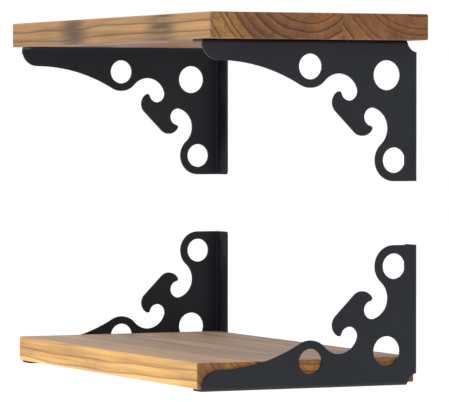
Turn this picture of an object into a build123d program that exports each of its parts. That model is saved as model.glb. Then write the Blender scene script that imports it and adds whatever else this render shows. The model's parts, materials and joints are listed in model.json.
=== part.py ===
from build123d import *
import os
from math import atan2, cos, degrees, radians, sin, sqrt

# Two-tier wall shelf. Each tier is an edge-glued wooden board on two folded steel brackets.
# The upper pair of brackets hangs below its board. The lower pair is the same bracket turned
# upside down, so that its plates stand up at the two ends of the lower board.
# Millimetres. X runs along the wall, the wall is the plane Y = 0 with the room on -Y, Z is up.
# The origin is the middle of the four upper wall screw holes, on the wall.

# Overall sizes
bracket_spacing = 460.0  # between the outer faces of the two brackets of a tier
board_depth = 230.0
board_thickness = 25.0
upper_overhang = 22.0  # the upper board past the outer face of each bracket
tier_drop = 332.0  # from the upper brackets' shelf flanges down to the lower ones

# Boards
front_stave_width = 138.0  # the rest of the depth is the back stave
eased_edge = 1.8
board_end_gap = 0.3  # between the lower board and each bracket plate

# Bracket sheet and folds
sheet = 2.5
inner_bend = 1.2
flange_width = 24.0  # over the plate's outer face
flange_corner = 3.0
nose_setback = 2.0  # the nose stops short of the upper board's front edge
relief_radius = 11.2  # bite that frees the two folds at the corner

# Bracket profile. The two arms mirror each other about the 45 degree line, up to the lobes.
end_window_reach = 115.0  # centre of an end window along its own arm
end_window_inset = 25.5  # the same centre across the arm
end_window_radius = 12.3
lobe_radius = 20.3  # outline around an end window
corner_window_inset = 33.4
corner_window_radius = 14.4
scroll_radius = 20.5
scroll_angle = 41.5  # from the arm to the line joining a lobe and its scroll
pocket_radius = 8.9
pocket_angle = 18.0
hook_radius = 12.0
hook_offset = 8.6  # from a scroll's centre to its hook's centre
hook_angle = 124.6
hook_tip_radius = 2.4
nose_height = 20.0
nose_radius = 17.0

# Screws and screw holes
wall_hole_radius = 2.5
wall_hole_top = 29.0  # from the shelf flange to the first wall hole
wall_hole_spacing = 88.0
flange_hole_inset = 12.0  # hole line from the plate's outer face, on both flanges
board_screw_radius = 2.0
board_screw_clearance = 0.25  # between a screw and its hole in the flange
pilot_clearance = 0.05  # between a screw and its hole in the wood
board_screw_length = 16.0
pilot_spare = 1.0  # pilot hole past the screw's point
screw_point = 3.0
screw_head_radius = 3.75
screw_head_rim = 0.25  # the head's short straight edge, above its 45 degree cone
recess_width = 0.9
recess_span = 4.2
recess_depth = 1.3
screw_from_wall = 36.0
screw_from_nose = 34.0

same_place = 0.01  # how near two measures have to be to count as one when edges are chosen

# Worked out from the sizes above
bend_outer = inner_bend + sheet
reach = board_depth - nose_setback
arm_length = end_window_reach + lobe_radius
upper_bearing = wall_hole_top + wall_hole_spacing / 2
lower_bearing = upper_bearing - tier_drop
half_spacing = bracket_spacing / 2
screw_line = {"left": flange_hole_inset - half_spacing, "right": half_spacing - flange_hole_inset}
screw_foot = {"upper": upper_bearing - sheet, "lower": lower_bearing}
head_height = screw_head_rim + screw_head_radius - board_screw_radius
shelf_hole_radius = board_screw_radius + board_screw_clearance
countersink_depth = screw_head_rim + screw_head_radius - shelf_hole_radius
screw_depths = {
    "back": screw_from_wall,
    "middle": (screw_from_wall + reach - screw_from_nose) / 2,
    "front": reach - screw_from_nose,
}
screw_spots = [(x, -depth) for x in screw_line.values() for depth in screw_depths.values()]


def polar(length, angle):
    """Vector of a length at an angle in degrees."""
    return Vector(cos(radians(angle)), sin(radians(angle))) * length


def toward(centre, radius, other):
    """Point of a circle that faces another point."""
    return centre + (other - centre).normalized() * radius


def meeting_centre(first, first_distance, second, second_distance):
    """Point at given distances from two points, to the left of the way from first to second."""
    span = (second - first).length
    along = (first_distance**2 - second_distance**2 + span**2) / (2 * span)
    across = sqrt(first_distance**2 - along**2)
    way = (second - first).normalized()
    return first + way * along + Vector(-way.Y, way.X) * across


def arc_about(centre, start, finish, turn):
    """Arc about a centre from start to finish; turn is 1 anticlockwise and -1 clockwise."""
    begin = degrees(atan2(start.Y - centre.Y, start.X - centre.X))
    end = degrees(atan2(finish.Y - centre.Y, finish.X - centre.X))
    return CenterArc(centre, (start - centre).length, begin, turn * (turn * (end - begin) % 360))


# Plate profile: first coordinate away from the wall, second coordinate down the wall arm.
lobe = Vector(end_window_reach, end_window_inset)
scroll = lobe + polar(lobe_radius + scroll_radius, 180 - scroll_angle)
pocket = scroll + polar(scroll_radius - pocket_radius, 180 + pocket_angle)
hook = scroll + polar(hook_offset, hook_angle)
tip = meeting_centre(hook, hook_radius - hook_tip_radius, pocket, pocket_radius + hook_tip_radius)
nose = Vector(reach - nose_radius, nose_height - nose_radius)
nose_run = nose.X - lobe.X
nose_drop = nose_height - lobe.Y
scoop_radius = (nose_run**2 + nose_drop**2 - lobe_radius**2) / (2 * (lobe_radius - nose_drop))
scoop = Vector(nose.X, nose_height + scoop_radius)

nose_front = Vector(reach, nose.Y)
nose_foot = Vector(nose.X, nose_height)
scoop_end = toward(lobe, lobe_radius, scoop)
lobe_end = toward(lobe, lobe_radius, scroll)
scroll_end = toward(scroll, scroll_radius, pocket)
pocket_end = toward(pocket, pocket_radius, tip)
tip_end = toward(hook, hook_radius, tip)
hook_end = hook + polar(hook_radius, 45)
arm_foot = Vector(lobe.Y, arm_length)
diagonal = Plane(origin=(0, 0, 0), z_dir=(1, -1, 0))
profile_plane = Plane(origin=(0, 0, 0), x_dir=(0, -1, 0), z_dir=(1, 0, 0))

# Bracket: one folded steel sheet. Drawn as the upper right one, with the plate's outer face
# at X = 0, the wall face at Y = 0 and the board's bearing face at Z = 0.
with BuildPart() as bracket:
    with BuildSketch(profile_plane):
        with BuildLine():
            Polyline(arm_foot, (0, arm_length), (0, 0), (reach, 0), nose_front)
            arc_about(nose, nose_front, nose_foot, 1)
            arc_about(scoop, nose_foot, scoop_end, -1)
            arc_about(lobe, scoop_end, lobe_end, 1)
            half_outline = [
                arc_about(scroll, lobe_end, scroll_end, -1),
                arc_about(pocket, scroll_end, pocket_end, -1),
                arc_about(tip, pocket_end, tip_end, 1),
                arc_about(hook, tip_end, hook_end, 1),
            ]
            mirror(half_outline, about=diagonal)
            Line(hook_end, (hook_end.Y, hook_end.X))
            arc_about(Vector(lobe.Y, lobe.X), Vector(lobe_end.Y, lobe_end.X), arm_foot, 1)
        make_face()
        with Locations((lobe.X, lobe.Y), (lobe.Y, lobe.X)):
            Circle(end_window_radius, mode=Mode.SUBTRACT)
        with Locations((corner_window_inset, corner_window_inset)):
            Circle(corner_window_radius, mode=Mode.SUBTRACT)
        # The folds take the place of the plate's outermost strips
        Rectangle(bend_outer, arm_length, align=Align.MIN, mode=Mode.SUBTRACT)
        Rectangle(reach, bend_outer, align=Align.MIN, mode=Mode.SUBTRACT)
    extrude(amount=-sheet)
    # Each fold and its flange are one L section, run along the plate's edge
    for section_plane, run in ((Plane.XY, -arm_length), (Plane.XZ, reach)):
        with BuildSketch(section_plane) as section:
            with BuildLine():
                Polyline(
                    (0, 0),
                    (0, -2 * bend_outer),
                    (-sheet, -2 * bend_outer),
                    (-sheet, -sheet),
                    (-flange_width, -sheet),
                    (-flange_width, 0),
                    close=True,
                )
            make_face()
            fillet(section.vertices().sort_by_distance((0, 0))[0], bend_outer)
            fillet(section.vertices().sort_by_distance((-sheet, -sheet))[0], inner_bend)
        extrude(amount=run)
    # Rounded free corners of the two flanges
    free_corners = bracket.edges().filter_by(
        lambda e: abs(e.center().X + flange_width) < same_place
        and abs(e.length - sheet) < same_place
    )
    far_corners = free_corners.sort_by(lambda e: e.center().Y + e.center().Z)[:2]
    fillet(far_corners, flange_corner)
    # Corner relief, and screw holes through the wall flange
    with BuildSketch(profile_plane):
        Circle(relief_radius)
    extrude(amount=-flange_width, mode=Mode.SUBTRACT)
    with BuildSketch(Plane.XZ):
        with Locations(
            (-flange_hole_inset, -wall_hole_top),
            (-flange_hole_inset, -wall_hole_top - wall_hole_spacing),
        ):
            Circle(wall_hole_radius)
    extrude(amount=sheet, mode=Mode.SUBTRACT)

os.makedirs("parts", exist_ok=True)

# Countersunk hole for a board screw, with the wide end at Z = 0
with BuildPart() as shelf_hole:
    with BuildSketch(Plane.XZ):
        Polygon(
            (0, 0),
            (screw_head_radius, 0),
            (screw_head_radius, screw_head_rim),
            (shelf_hole_radius, countersink_depth),
            (shelf_hole_radius, sheet),
            (0, sheet),
            align=None,
        )
    revolve(axis=Axis.Z)

# The four brackets. The left hand is the mirror image of the right, and a lower bracket is the
# upper one of the other hand turned half a turn about the line out of the wall. The shelf
# flanges are then drilled from below, so that the screw heads lie flush on both tiers.
with BuildPart() as mirrored_bracket:
    mirror(bracket.part, about=Plane.YZ)
half_turn = (0, 180, 0)
bracket_places = {
    "upper_right_bracket": (bracket, Location((half_spacing, 0, upper_bearing))),
    "upper_left_bracket": (mirrored_bracket, Location((-half_spacing, 0, upper_bearing))),
    "lower_right_bracket": (mirrored_bracket, Location((half_spacing, 0, lower_bearing), half_turn)),
    "lower_left_bracket": (bracket, Location((-half_spacing, 0, lower_bearing), half_turn)),
}
for name, (pattern, place) in bracket_places.items():
    tier, side, _ = name.split("_")
    with BuildPart() as placed_bracket:
        with Locations(place):
            add(pattern.part)
        with Locations([(screw_line[side], -depth, screw_foot[tier]) for depth in screw_depths.values()]):
            add(shelf_hole.part, mode=Mode.SUBTRACT)
    placed_bracket.part.label = name
    export_step(placed_bracket.part, f"parts/{name}.step")

# Countersunk wood screw, drawn point up with the face of its head at Z = 0
with BuildPart() as board_screw:
    with BuildSketch(Plane.XZ):
        Polygon(
            (0, 0),
            (screw_head_radius, 0),
            (screw_head_radius, screw_head_rim),
            (board_screw_radius, head_height),
            (board_screw_radius, board_screw_length - screw_point),
            (0, board_screw_length),
            align=None,
        )
    revolve(axis=Axis.Z)
    with BuildSketch(Plane.XY):
        Rectangle(recess_span, recess_width)
        Rectangle(recess_width, recess_span)
    extrude(amount=recess_depth, mode=Mode.SUBTRACT)

# Boards. Each is two staves glued edge to edge, with pilot holes for the screws in its underside.
boards = {
    "upper": (half_spacing + upper_overhang, 0.0),
    "lower": (half_spacing - sheet - board_end_gap, -sheet),
}
for tier, (half_length, back) in boards.items():
    underside = screw_foot[tier] + sheet
    glue_line = back - board_depth + front_stave_width
    stave_spans = {"front": (back - board_depth, glue_line), "back": (glue_line, back)}
    for stave, (near, far) in stave_spans.items():
        name = f"{tier}_{stave}_stave"
        with BuildPart() as plank:
            with BuildSketch(Plane.XY.offset(underside)):
                with Locations((0, (near + far) / 2)):
                    Rectangle(2 * half_length, far - near)
            extrude(amount=board_thickness)
            fillet(
                plank.edges().filter_by(lambda e: abs(e.center().Y - glue_line) > same_place),
                eased_edge,
            )
            with BuildSketch(Plane.XY.offset(underside)):
                with Locations(screw_spots):
                    Circle(board_screw_radius + pilot_clearance)
            extrude(amount=board_screw_length - sheet + pilot_spare, mode=Mode.SUBTRACT)
        plank.part.label = name
        export_step(plank.part, f"parts/{name}.step")
    # The tier's screws, driven up through the shelf flanges
    for side, x in screw_line.items():
        for row, depth in screw_depths.items():
            name = f"{tier}_{side}_{row}_screw"
            with BuildPart() as placed_screw:
                with Locations((x, -depth, screw_foot[tier])):
                    add(board_screw.part)
            placed_screw.part.label = name
            export_step(placed_screw.part, f"parts/{name}.step")
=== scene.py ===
import json
from math import cos, hypot, radians, sin

import bpy
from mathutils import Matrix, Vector

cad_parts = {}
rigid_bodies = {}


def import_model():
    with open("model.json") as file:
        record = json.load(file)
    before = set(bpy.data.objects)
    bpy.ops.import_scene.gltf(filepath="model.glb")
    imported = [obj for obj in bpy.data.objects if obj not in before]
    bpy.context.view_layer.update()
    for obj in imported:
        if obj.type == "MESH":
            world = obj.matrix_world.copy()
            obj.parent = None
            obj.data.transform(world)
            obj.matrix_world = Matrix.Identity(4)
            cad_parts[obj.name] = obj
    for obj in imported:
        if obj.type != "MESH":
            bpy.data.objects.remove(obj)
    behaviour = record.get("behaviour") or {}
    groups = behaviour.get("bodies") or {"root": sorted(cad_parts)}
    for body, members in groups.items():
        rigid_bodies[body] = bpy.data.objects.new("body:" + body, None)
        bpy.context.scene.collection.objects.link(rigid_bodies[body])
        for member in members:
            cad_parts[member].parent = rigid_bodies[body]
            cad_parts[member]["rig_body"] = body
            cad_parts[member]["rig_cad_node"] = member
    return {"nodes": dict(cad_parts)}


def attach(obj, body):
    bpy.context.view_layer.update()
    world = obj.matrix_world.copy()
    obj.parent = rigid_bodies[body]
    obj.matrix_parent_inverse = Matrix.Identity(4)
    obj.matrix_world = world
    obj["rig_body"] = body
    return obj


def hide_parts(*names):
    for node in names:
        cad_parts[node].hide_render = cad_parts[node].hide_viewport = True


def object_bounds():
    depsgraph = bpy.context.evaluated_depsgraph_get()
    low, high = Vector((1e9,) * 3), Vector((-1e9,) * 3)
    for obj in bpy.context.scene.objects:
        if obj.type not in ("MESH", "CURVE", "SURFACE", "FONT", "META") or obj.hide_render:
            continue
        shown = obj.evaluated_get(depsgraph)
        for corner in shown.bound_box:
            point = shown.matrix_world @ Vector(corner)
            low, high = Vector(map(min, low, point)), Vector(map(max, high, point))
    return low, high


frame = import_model()
cad_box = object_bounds()

# Room: an open white studio. A pale floor runs out of sight, even light comes from all round,
# and three large soft lamps stand about the shelf: the key on the room side, a fill by the
# right-hand ends of the boards and a fill overhead.
floor_drop = 0.9
floor_size = 60.0
floor_grey = 0.92
floor_roughness = 0.9
floor_glow = 0.5
studio_white = (1, 1, 1, 1)
room_colour = (0.97, 0.985, 1.0, 1)
room_strength = 0.62
bpy.ops.object.select_all(action="DESELECT")
bpy.ops.mesh.primitive_plane_add(size=floor_size, location=(0, 0, cad_box[0].z - floor_drop))
floor = bpy.context.object
floor.name = "floor"
floor_paint = bpy.data.materials.new("floor_paint")
floor_paint.use_nodes = True
floor_shader = floor_paint.node_tree.nodes["Principled BSDF"]
floor_shader.inputs["Base Color"].default_value = (floor_grey, floor_grey, floor_grey, 1)
floor_shader.inputs["Roughness"].default_value = floor_roughness
floor_shader.inputs["Emission Color"].default_value = studio_white
floor_shader.inputs["Emission Strength"].default_value = floor_glow
floor.data.materials.append(floor_paint)

studio = bpy.data.worlds.new("studio")
bpy.context.scene.world = studio
studio.use_nodes = True
studio_nodes = studio.node_tree.nodes
studio_links = studio.node_tree.links
seen_white = studio_nodes["Background"]
seen_white.inputs["Color"].default_value = studio_white
seen_white.inputs["Strength"].default_value = 1.0
room_light = studio_nodes.new("ShaderNodeBackground")
room_light.inputs["Color"].default_value = room_colour
room_light.inputs["Strength"].default_value = room_strength
straight_to_lens = studio_nodes.new("ShaderNodeLightPath")
studio_mix = studio_nodes.new("ShaderNodeMixShader")
studio_links.new(straight_to_lens.outputs["Is Camera Ray"], studio_mix.inputs["Fac"])
studio_links.new(room_light.outputs[0], studio_mix.inputs[1])
studio_links.new(seen_white.outputs[0], studio_mix.inputs[2])
studio_links.new(studio_mix.outputs[0], studio_nodes["World Output"].inputs["Surface"])

middle = (cad_box[0] + cad_box[1]) / 2
lamps = {
    "key": {"azimuth": -25, "height": 38, "away": 2.2, "size": 1.6, "watts": 46},
    "end_fill": {"azimuth": 75, "height": -4, "away": 2.4, "size": 1.8, "watts": 15},
    "top_fill": {"azimuth": 20, "height": 80, "away": 2.0, "size": 2.0, "watts": 14},
}
for lamp_name, lamp in lamps.items():
    turn, rise = radians(lamp["azimuth"]), radians(lamp["height"])
    out = Vector((sin(turn) * cos(rise), -cos(turn) * cos(rise), sin(rise)))
    bpy.ops.object.light_add(type="AREA", location=middle + out * lamp["away"])
    light = bpy.context.object
    light.name = lamp_name + "_lamp"
    light.rotation_euler = out.to_track_quat("Z", "Y").to_euler()
    light.data.size = lamp["size"]
    light.data.energy = lamp["watts"]

# A long lens by the right-hand end, a little below the upper board, so that the upper board is
# seen nearly edge on and the brackets' plates nearly face on.
lens_bearing = radians(24.77)
lens_away = 3.64
lens_drop = 0.098
lens_length = 288.6
lens_frame = 36
lens_reach = 100
aim_across, aim_back, aim_up = -0.002, 0.018, -0.005
aim = Vector((aim_across, middle.y + aim_back, middle.z + aim_up))
camera_spot = aim + Vector((cos(lens_bearing), -sin(lens_bearing), 0)) * lens_away
camera_spot.z = cad_box[1].z - lens_drop
bpy.ops.object.camera_add(location=camera_spot)
camera = bpy.context.object
camera.rotation_euler = (aim - camera_spot).to_track_quat("-Z", "Y").to_euler()
camera.data.sensor_width = lens_frame
camera.data.lens = lens_length
camera.data.clip_end = lens_reach
bpy.context.scene.camera = camera
bpy.context.scene.view_settings.view_transform = "Standard"

# Brackets: four of folded 2.5 mm steel, each a plate cut with hooked scrolls and round windows,
# a flange against the wall and a flange under the board. The satin black powder coat is baked
# on after folding and rounds the cut edges a little.
coat_colour = (0.0092, 0.0106, 0.0146, 1)
coat_specular = 0.25
coat_palest, coat_darkest = 1.14, 0.86
drift_scale = 14
pebble_scale = 900
pebble_strength = 0.35
pebble_height = 0.00006
gloss_least, gloss_most = 0.44, 0.62
coat_edge_radius = 0.00022
hole_line = 0.218  # the screw holes, from the middle of the shelf
hole_room = 0.0045
relief_room = 0.0126  # round the corner where the two folds meet
merge_gap = 0.00001
level_angle = radians(0.4)  # faces closer than this to level are one face
cut_edge_angle = radians(50)
smooth_angle = radians(60)
powder = bpy.data.materials.new("powder_coat")
powder.use_nodes = True
tree = powder.node_tree
shader = tree.nodes["Principled BSDF"]
shader.inputs["Specular IOR Level"].default_value = coat_specular
shader.inputs["Metallic"].default_value = 0.0
place = tree.nodes.new("ShaderNodeTexCoord")
# Slow drift of the shade, as of a coat sprayed by hand
drift = tree.nodes.new("ShaderNodeTexNoise")
drift.inputs["Scale"].default_value = drift_scale
drift.inputs["Detail"].default_value = 3
tree.links.new(place.outputs["Object"], drift.inputs["Vector"])
shade = tree.nodes.new("ShaderNodeValToRGB")
shade.color_ramp.elements[0].position = 0.3
shade.color_ramp.elements[0].color = [coat_darkest * c for c in coat_colour[:3]] + [1]
shade.color_ramp.elements[1].position = 0.7
shade.color_ramp.elements[1].color = [coat_palest * c for c in coat_colour[:3]] + [1]
tree.links.new(drift.outputs["Fac"], shade.inputs["Fac"])
tree.links.new(shade.outputs["Color"], shader.inputs["Base Color"])
# Fine pebble of the cured powder, in the relief and in the gloss
pebble = tree.nodes.new("ShaderNodeTexNoise")
pebble.inputs["Scale"].default_value = pebble_scale
pebble.inputs["Detail"].default_value = 2
tree.links.new(place.outputs["Object"], pebble.inputs["Vector"])
gloss = tree.nodes.new("ShaderNodeMapRange")
gloss.inputs["To Min"].default_value = gloss_least
gloss.inputs["To Max"].default_value = gloss_most
tree.links.new(pebble.outputs["Fac"], gloss.inputs["Value"])
tree.links.new(gloss.outputs["Result"], shader.inputs["Roughness"])
relief = tree.nodes.new("ShaderNodeBump")
relief.inputs["Strength"].default_value = pebble_strength
relief.inputs["Distance"].default_value = pebble_height
tree.links.new(pebble.outputs["Fac"], relief.inputs["Height"])
tree.links.new(relief.outputs["Normal"], shader.inputs["Normal"])

for bracket_name in ("upper_left", "upper_right", "lower_left", "lower_right"):
    folded = frame["nodes"][bracket_name + "_bracket"]
    bpy.ops.object.select_all(action="DESELECT")
    folded.select_set(True)
    bpy.context.view_layer.objects.active = folded
    bpy.ops.object.duplicate()
    bracket = bpy.context.object
    bracket.name = bracket_name + "_coated_bracket"
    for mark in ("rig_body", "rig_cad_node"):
        del bracket[mark]
    bracket.parent = None
    bpy.ops.object.mode_set(mode="EDIT")
    bpy.ops.mesh.select_all(action="SELECT")
    bpy.ops.mesh.remove_doubles(threshold=merge_gap)
    bpy.ops.mesh.customdata_custom_splitnormals_clear()
    bpy.ops.mesh.dissolve_limited(angle_limit=level_angle)
    bpy.ops.mesh.select_mode(type="EDGE")
    bpy.ops.mesh.select_all(action="DESELECT")
    bpy.ops.mesh.edges_select_sharp(sharpness=cut_edge_angle)
    bpy.ops.object.mode_set(mode="OBJECT")
    # The cut edges are rounded; drilled holes and the relief between the folds stay crisp
    points = bracket.data.vertices
    heights = [point.co.z for point in points]
    fold_corner = max(heights) if bracket_name.startswith("upper") else min(heights)
    roundness = bracket.data.attributes.new("bevel_weight_edge", "FLOAT", "EDGE")
    for edge, weight in zip(bracket.data.edges, roundness.data):
        ends = [points[end].co for end in edge.vertices]
        drilled = any(abs(abs(end.x) - hole_line) < hole_room for end in ends)
        relieved = any(hypot(end.y, end.z - fold_corner) < relief_room for end in ends)
        weight.value = float(edge.select and not drilled and not relieved)
    rounding = bracket.modifiers.new("coated_edges", "BEVEL")
    rounding.width = coat_edge_radius
    rounding.segments = 2
    rounding.limit_method = "WEIGHT"
    rounding.use_clamp_overlap = False
    bpy.ops.object.modifier_apply(modifier=rounding.name)
    bpy.ops.object.shade_smooth_by_angle(angle=smooth_angle)
    flat_faces = bracket.modifiers.new("flat_faces", "WEIGHTED_NORMAL")
    flat_faces.keep_sharp = True
    bpy.ops.object.modifier_apply(modifier=flat_faces.name)
    bracket.data.materials.clear()
    bracket.data.materials.append(powder)
    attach(bracket, "root")
    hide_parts(folded.name)

# Boards: two shelf boards, each of two softwood staves glued edge to edge, brushed and oiled.
# Every stave came from another place in the log, so each has its own heart line, rings and
# tone. A knot is given by its place along the board and the way its branch grows.
knot_colour = (0.066, 0.032, 0.013)
# Upward faces are painted darker and greyer: painted shade, and a painted grey reflection of the
# white room.
painted_shade_and_sheen_grey = (0.182, 0.182, 0.190)
painted_shade_and_sheen_share = 0.55
sapwood_start, sapwood_full = 0.085, 0.1  # from the heart line
wood_specular = 0.4
brushing_strength = 0.5
brushing_depth = 0.00025
staves = {
    "upper_front_stave": {
        "heart": (-0.127, 0.140),
        "ring": 0.0085,
        "seed": 3.1,
        "early": (0.280, 0.112, 0.034),
        "late": (0.050, 0.018, 0.008),
        "sap": (0.275, 0.143, 0.045),
        "knots": ((-0.083, -0.103, -0.054), (0.137, -0.103, -0.052)),
        "end_soak_and_shade": (0.81, 0.73, 0.55),
        "line": 0.76,
    },
    "upper_back_stave": {
        "heart": (-0.010, 0.143),
        "ring": 0.0095,
        "seed": 7.7,
        "early": (0.268, 0.108, 0.032),
        "late": (0.050, 0.018, 0.008),
        "sap": (0.275, 0.135, 0.043),
        "knots": (),
        "end_soak_and_shade": (0.81, 0.73, 0.55),
        "line": 0.76,
    },
    "lower_front_stave": {
        "heart": (-0.117, -0.150),
        "ring": 0.0066,
        "seed": 12.4,
        "early": (0.590, 0.305, 0.092),
        "late": (0.17, 0.070, 0.024),
        "sap": (0.600, 0.325, 0.098),
        "knots": (),
        # Darker ends here: end grain soaking up oil, with painted shade added.
        "end_soak_and_shade": (0.40, 0.29, 0.15),
        "line": 0.72,
    },
    "lower_back_stave": {
        "heart": (-0.040, -0.170),
        "ring": 0.0080,
        "seed": 21.9,
        "early": (0.570, 0.285, 0.086),
        "late": (0.16, 0.066, 0.022),
        "sap": (0.570, 0.305, 0.094),
        "knots": (),
        # Darker ends here: end grain soaking up oil, with painted shade added.
        "end_soak_and_shade": (0.40, 0.29, 0.15),
        "line": 0.72,
    },
}


def stave_wood(name, heart, ring, seed, early, late, sap, knots, end_soak_and_shade, line):
    """Wood whose growth rings are circles about the heart line, which runs along X."""
    wood = bpy.data.materials.new(name)
    wood.use_nodes = True
    nodes = wood.node_tree.nodes
    links = wood.node_tree.links
    surface = nodes["Principled BSDF"]

    def math(operation, first, second=None):
        node = nodes.new("ShaderNodeMath")
        node.operation = operation
        for socket, value in zip(node.inputs, (first, second)):
            if value is None:
                continue
            if isinstance(value, (int, float)):
                socket.default_value = value
            else:
                links.new(value, socket)
        return node.outputs[0]

    def vector(operation, first, second=None, result="Vector", scale=None):
        node = nodes.new("ShaderNodeVectorMath")
        node.operation = operation
        for socket, value in zip(node.inputs, (first, second)):
            if value is None:
                continue
            if isinstance(value, tuple):
                socket.default_value = value
            else:
                links.new(value, socket)
        if scale is not None:
            links.new(scale, node.inputs["Scale"])
        return node.outputs[result]

    def stretched_noise(source, stretch, detail=2, output="Fac"):
        node = nodes.new("ShaderNodeTexNoise")
        node.inputs["Scale"].default_value = 1
        node.inputs["Detail"].default_value = detail
        links.new(vector("MULTIPLY", source, stretch), node.inputs["Vector"])
        return node.outputs[output]

    def ramp(value, low, high, at_low=0.0, at_high=1.0, smooth=True):
        node = nodes.new("ShaderNodeMapRange")
        node.interpolation_type = "SMOOTHSTEP" if smooth else "LINEAR"
        node.inputs["From Min"].default_value = low
        node.inputs["From Max"].default_value = high
        node.inputs["To Min"].default_value = at_low
        node.inputs["To Max"].default_value = at_high
        links.new(value, node.inputs["Value"])
        return node.outputs[0]

    def blend(share, first, second, kind="MIX"):
        node = nodes.new("ShaderNodeMix")
        node.data_type = "RGBA"
        node.blend_type = kind
        share_socket, first_socket, second_socket = (node.inputs[n] for n in (0, 6, 7))
        given = ((share_socket, share), (first_socket, first), (second_socket, second))
        for socket, value in given:
            if isinstance(value, (int, float)):
                socket.default_value = value
            elif isinstance(value, tuple):
                socket.default_value = (*value, 1)
            else:
                links.new(value, socket)
        return node.outputs[2]

    place = nodes.new("ShaderNodeTexCoord").outputs["Object"]
    from_heart = vector("SUBTRACT", place, (0, heart[0], heart[1]))
    shifted = vector("ADD", place, (seed, seed * 1.7, seed * 0.6))
    # The heart line wanders slowly along the log, and the rings are not quite round
    even = (0.5, 0.5, 0.5)
    sway = vector("SUBTRACT", stretched_noise(shifted, (4, 0.5, 0.5), 1, "Color"), even)
    wobble = vector("SUBTRACT", stretched_noise(shifted, (3.5, 26, 26), 2, "Color"), even)
    bent = vector("ADD", from_heart, vector("MULTIPLY", sway, (0, 0.014, 0.014)))
    bent = vector("ADD", bent, vector("MULTIPLY", wobble, (0, 0.004, 0.004)))
    radius = vector("LENGTH", vector("MULTIPLY", bent, (0, 1, 1)), result="Value")
    turns = math("DIVIDE", radius, ring)

    # Each knot is a branch that leaves the heart line sideways, and the rings bulge round it
    knot_core = None
    for along, way_y, way_z in knots:
        way = Vector((0, way_y, way_z)).normalized()
        off = vector("SUBTRACT", from_heart, (along, 0, 0))
        outward = vector("DOT_PRODUCT", off, tuple(way), result="Value")
        on_branch = vector("SCALE", tuple(way), scale=outward)
        across = vector("MULTIPLY", vector("SUBTRACT", off, on_branch), (0.8, 1, 1))
        gap = vector("LENGTH", across, result="Value")
        bulge = ramp(gap, 0.0, 0.08, 0.16, 0.0)
        bulge = math("MULTIPLY", bulge, ramp(outward, 0.0, 0.03))
        turns = math("SUBTRACT", turns, bulge)
        core = math("MULTIPLY", ramp(gap, 0.004, 0.042, 1.0, 0.0), ramp(outward, 0.07, 0.11))
        knot_core = core if knot_core is None else math("MAXIMUM", knot_core, core)

    uneven = nodes.new("ShaderNodeTexNoise")
    uneven.noise_dimensions = "1D"
    uneven.inputs["Scale"].default_value = 0.9
    uneven.inputs["Detail"].default_value = 1
    links.new(math("ADD", turns, seed), uneven.inputs["W"])
    turns = math("ADD", turns, math("MULTIPLY", uneven.outputs["Fac"], 1.3))
    in_ring = math("FRACT", turns)
    strength = nodes.new("ShaderNodeTexWhiteNoise")
    strength.noise_dimensions = "1D"
    links.new(math("ADD", math("FLOOR", turns), seed), strength.inputs["W"])
    facing = nodes.new("ShaderNodeSeparateXYZ")
    links.new(nodes.new("ShaderNodeTexCoord").outputs["Normal"], facing.inputs[0])
    endwise = ramp(math("ABSOLUTE", facing.outputs["X"]), 0.4, 0.9)
    end_line = math("MULTIPLY", ramp(in_ring, 0.66, 0.955), ramp(in_ring, 0.97, 1.0, 1.0, 0.0))
    face_line = math("MULTIPLY", ramp(in_ring, line, 0.92), ramp(in_ring, 0.94, 1.0, 1.0, 0.0))
    late_line = blend(endwise, math("MULTIPLY", face_line, 0.7), end_line)
    late_line = math("MULTIPLY", late_line, ramp(strength.outputs["Value"], 0, 1, 0.6, 1.0, False))
    ring_tone = ramp(strength.outputs["Value"], 0, 1, 0.84, 1.12, False)
    warm = math("MULTIPLY", ramp(in_ring, 0.15, 0.95), ramp(endwise, 0, 1, 0.2, 0.36, False))

    # Fibres run along the stave, as fine streaks on the faces and dots on the ends
    fibre = stretched_noise(shifted, (9, 420, 420), 3)
    streak = stretched_noise(shifted, (2.2, 70, 70), 3)
    band = stretched_noise(shifted, (3.5, 140, 140), 4)
    patch = stretched_noise(shifted, (7, 16, 16), 2)
    hair = stretched_noise(shifted, (16, 1200, 1200), 2)
    fleck = stretched_noise(shifted, (110, 300, 300), 2)

    colour = blend(ramp(radius, sapwood_start, sapwood_full), early, sap)
    colour = blend(warm, colour, late)
    colour = blend(late_line, colour, late)
    colour = blend(ramp(band, 0.48, 0.72, 0.0, 0.34), colour, late)
    tone = math("ADD", ramp(fibre, 0.3, 0.7, 0.84, 1.12), ramp(streak, 0.3, 0.7, -0.15, 0.15))
    tone = math("MULTIPLY", tone, ramp(hair, 0.3, 0.7, 0.90, 1.08))
    tone = math("MULTIPLY", tone, ramp(fleck, 0.62, 0.75, 1.0, 0.80))
    tone = math("MULTIPLY", tone, ramp(patch, 0.3, 0.7, 0.82, 1.14))
    tone = math("MULTIPLY", tone, ring_tone)
    colour = vector("SCALE", colour, scale=tone)
    if knot_core is not None:
        torn_fibre = ramp(stretched_noise(shifted, (14, 190, 190), 4), 0.34, 0.56, 0.35, 1.0)
        colour = blend(math("MULTIPLY", knot_core, torn_fibre), colour, knot_colour)
    # End grain soaks up the oil and goes darker; on the lower staves it is darker still with
    # painted shade, as where the bracket plates shade the ends.
    colour = blend(endwise, colour, blend(1.0, colour, end_soak_and_shade, "MULTIPLY"))
    # The upper face is painted darker and greyer: painted shade and a painted grey reflection of
    # the room.
    painted_shade_and_sheen_mask = ramp(facing.outputs["Z"], 0.4, 0.95, 0.0, painted_shade_and_sheen_share)
    colour = blend(painted_shade_and_sheen_mask, colour, painted_shade_and_sheen_grey)
    links.new(colour, surface.inputs["Base Color"])

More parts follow.
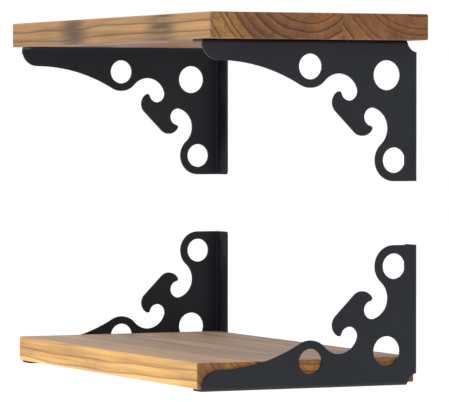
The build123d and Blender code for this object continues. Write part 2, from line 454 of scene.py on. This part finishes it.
    links.new(ramp(fibre, 0.2, 0.8, 0.48, 0.62), surface.inputs["Roughness"])
    surface.inputs["Specular IOR Level"].default_value = wood_specular
    ridge = math("ADD", math("MULTIPLY", late_line, 0.7), math("MULTIPLY", fibre, 0.45))
    brushed = nodes.new("ShaderNodeBump")
    brushed.inputs["Strength"].default_value = brushing_strength
    brushed.inputs["Distance"].default_value = brushing_depth
    links.new(ridge, brushed.inputs["Height"])
    links.new(brushed.outputs["Normal"], surface.inputs["Normal"])
    return wood


for stave_name, grain in staves.items():
    stave = frame["nodes"][stave_name]
    stave.data.materials.clear()
    stave.data.materials.append(stave_wood(stave_name + "_wood", **grain))

# Board screws: twelve countersunk wood screws, driven up through the shelf flanges into the
# boards. Blackened steel, a little lighter and glossier than the powder coat.
blacking_palest = (0.12, 0.118, 0.122, 1)
blacking_darkest = (0.055, 0.055, 0.06, 1)
blacking_metal = 0.85
mottle_scale = 450
screw_gloss_least, screw_gloss_most = 0.28, 0.45
blacking = bpy.data.materials.new("blackened_steel")
blacking.use_nodes = True
tree = blacking.node_tree
shader = tree.nodes["Principled BSDF"]
shader.inputs["Metallic"].default_value = blacking_metal
place = tree.nodes.new("ShaderNodeTexCoord")
mottle = tree.nodes.new("ShaderNodeTexNoise")
mottle.inputs["Scale"].default_value = mottle_scale
tree.links.new(place.outputs["Object"], mottle.inputs["Vector"])
shade = tree.nodes.new("ShaderNodeValToRGB")
shade.color_ramp.elements[0].position = 0.35
shade.color_ramp.elements[0].color = blacking_darkest
shade.color_ramp.elements[1].position = 0.7
shade.color_ramp.elements[1].color = blacking_palest
tree.links.new(mottle.outputs["Fac"], shade.inputs["Fac"])
tree.links.new(shade.outputs["Color"], shader.inputs["Base Color"])
gloss = tree.nodes.new("ShaderNodeMapRange")
gloss.inputs["To Min"].default_value = screw_gloss_least
gloss.inputs["To Max"].default_value = screw_gloss_most
tree.links.new(mottle.outputs["Fac"], gloss.inputs["Value"])
tree.links.new(gloss.outputs["Result"], shader.inputs["Roughness"])
for node_name, screw in frame["nodes"].items():
    if node_name.endswith("_screw"):
        screw.data.materials.clear()
        screw.data.materials.append(blacking)
